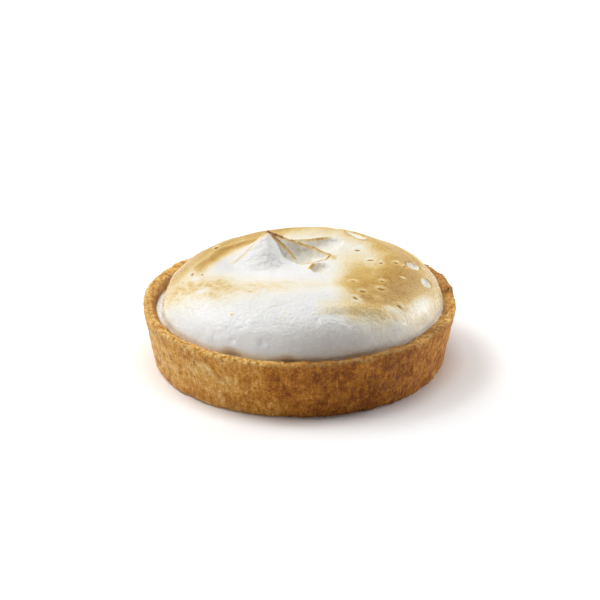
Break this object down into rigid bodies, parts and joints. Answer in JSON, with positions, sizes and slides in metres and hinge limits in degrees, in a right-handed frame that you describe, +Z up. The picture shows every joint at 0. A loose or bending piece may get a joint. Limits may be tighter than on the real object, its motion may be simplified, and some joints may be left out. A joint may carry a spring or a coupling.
{
  "type": "lemon meringue tart",
  "caption": "Small round tart: a straight-sided shortcrust case filled with a swirled, torch-browned dome of meringue drawn up into a curled peak.",
  "frame": {"origin": "centre of the case's flat underside", "axes": "+Z up through the middle of the tart, +X to the right and -Y towards the viewer of the picture"},
  "size_m": [0.0895, 0.0898, 0.0377],
  "materials": {
    "baked_pastry": "matt baked shortcrust, golden brown with darker mottling and a crumbly pale rim",
    "torched_meringue": "soft satin white meringue, toasted golden brown on its ridges"
  },
  "bodies": {
    "root": {"crust": "baked_pastry", "meringue": "torched_meringue"}
  },
  "joints": []
}
